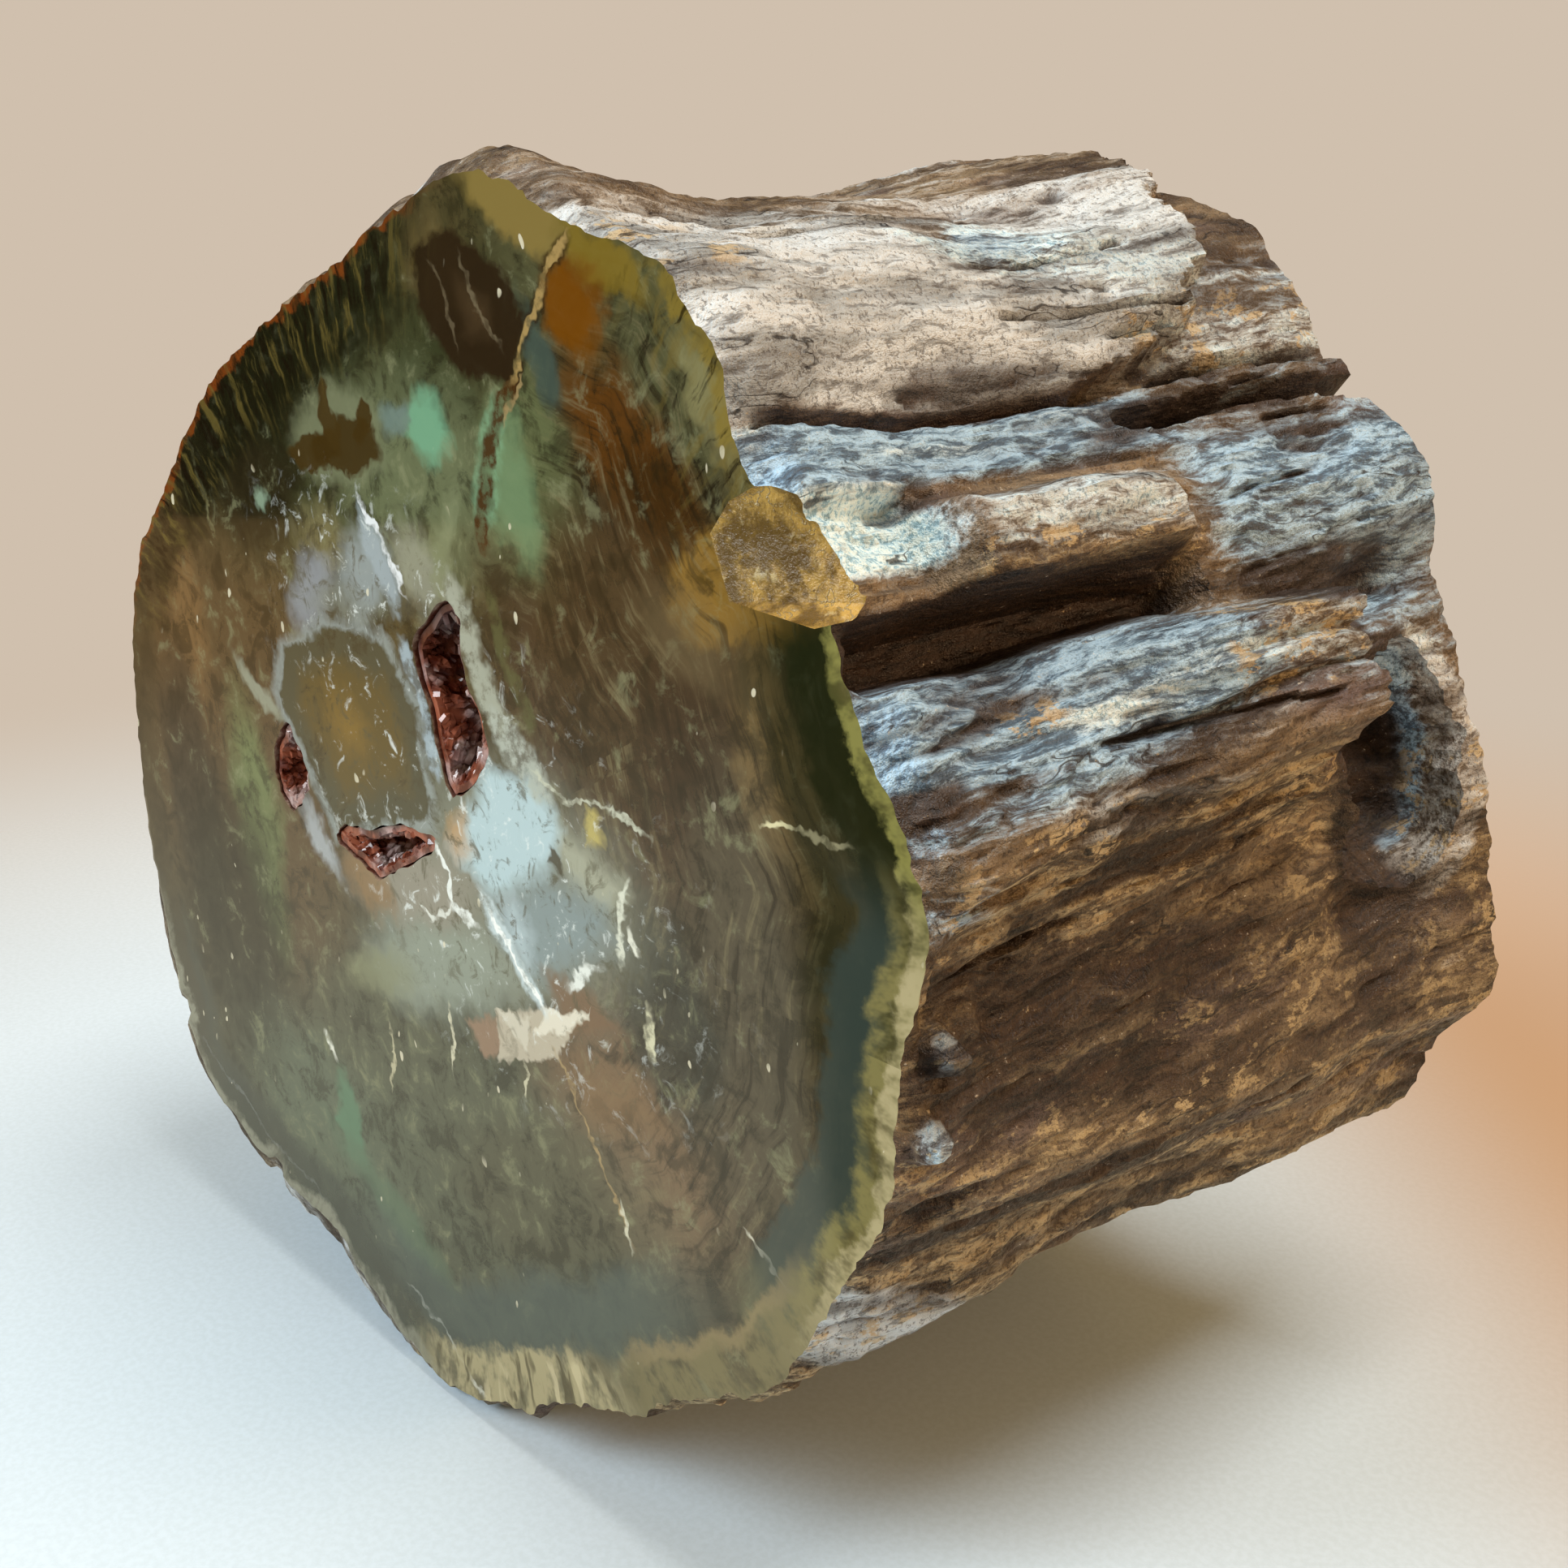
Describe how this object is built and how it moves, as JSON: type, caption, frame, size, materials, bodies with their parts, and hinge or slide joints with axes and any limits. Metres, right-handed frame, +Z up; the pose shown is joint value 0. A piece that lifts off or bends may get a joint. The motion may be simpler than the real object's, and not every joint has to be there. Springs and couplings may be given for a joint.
{
  "type": "petrified wood log",
  "caption": "Short length of fossil log turned to stone: one end sawn and polished, the other broken, bark side rough, crystal-lined hollows in the polished face.",
  "frame": {"origin": "on the table, under the middle of the log's bounding box", "axes": "+Z up, -Y out of the polished face, +X to the right of someone who looks at the polished face"},
  "size_m": [0.2548, 0.166, 0.2396],
  "materials": {
    "agatised_wood": "glossy polish on the sawn face, rough weathered stone elsewhere",
    "quartz_crust": "small glassy crystals stained red-brown"
  },
  "bodies": {
    "root": {"petrified_log": "agatised_wood", "long_crystal_crust": "quartz_crust", "left_crystal_crust": "quartz_crust", "low_crystal_crust": "quartz_crust"}
  },
  "joints": []
}
